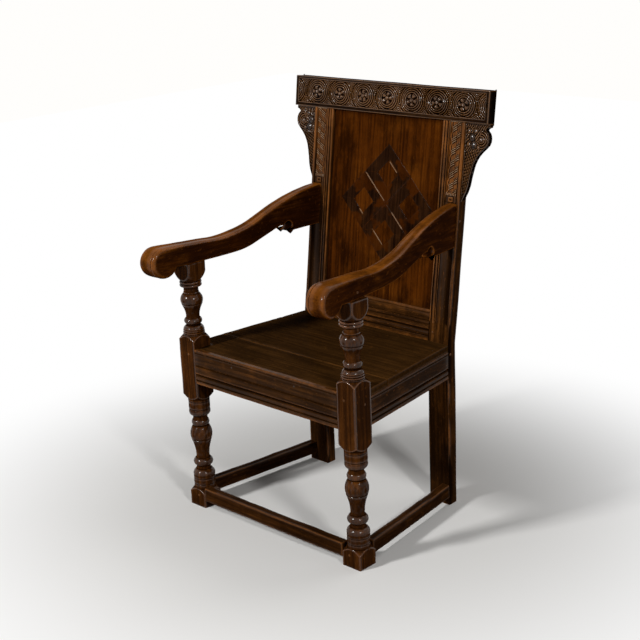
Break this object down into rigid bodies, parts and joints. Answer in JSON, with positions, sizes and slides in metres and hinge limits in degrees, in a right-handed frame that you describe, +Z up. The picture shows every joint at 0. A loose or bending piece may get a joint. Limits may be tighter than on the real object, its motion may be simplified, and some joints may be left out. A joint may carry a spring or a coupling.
{
  "type": "wainscot chair",
  "caption": "Joined oak armchair: turned front posts, raked panelled back with carved cresting rail and ear brackets, swept arms, plank seat, low stretchers.",
  "frame": {"origin": "middle of the chair's bounding box, on the floor", "axes": "+Z up; +X to the right of someone facing the chair; the chair faces -Y"},
  "size_m": [0.604, 0.59, 1.016],
  "materials": {
    "oak_turned": "dark oak, waxed, orange-brown where hands and feet have worn it",
    "oak_frame": "very dark oak with a low wax sheen",
    "oak_carved": "dark carved oak, ridges polished, hollows nearly black",
    "oak_panel": "red-brown oak board with vertical grain, waxed",
    "oak_inlay": "near-black oak bands, worn edges lighter",
    "oak_arm": "dark oak with orange-brown polished upper edges",
    "oak_seat": "dark brown boards, worn and dented, dull sheen",
    "oak_stretcher": "dark oak, rubbed by feet along the upper edge",
    "oak_peg": "dark riven oak, end grain showing",
    "iron_nail": "rusted black iron"
  },
  "bodies": {
    "root": {"front_post_left": "oak_turned", "front_post_right": "oak_turned", "back_stile_left": "oak_frame", "back_stile_right": "oak_frame", "crest_rail": "oak_carved", "ear_bracket_left": "oak_carved", "ear_bracket_right": "oak_carved", "back_panel": "oak_panel", "panel_inlay": "oak_inlay", "lower_back_rail": "oak_frame", "arm_left": "oak_arm", "arm_right": "oak_arm", "seat_board_front": "oak_seat", "seat_board_rear": "oak_seat", "front_seat_rail": "oak_frame", "side_seat_rail_left": "oak_frame", "side_seat_rail_right": "oak_frame", "rear_seat_rail": "oak_frame", "front_stretcher": "oak_stretcher", "side_stretcher_left": "oak_stretcher", "side_stretcher_right": "oak_stretcher", "front_post_pegs": "oak_peg", "stretcher_pegs": "oak_peg", "side_rail_pegs": "oak_peg", "rear_rail_pegs": "oak_peg", "lower_back_rail_pegs": "oak_peg", "crest_pegs": "oak_peg", "arm_pegs": "oak_peg", "seat_nails": "iron_nail", "ear_nails": "iron_nail"}
  },
  "joints": []
}
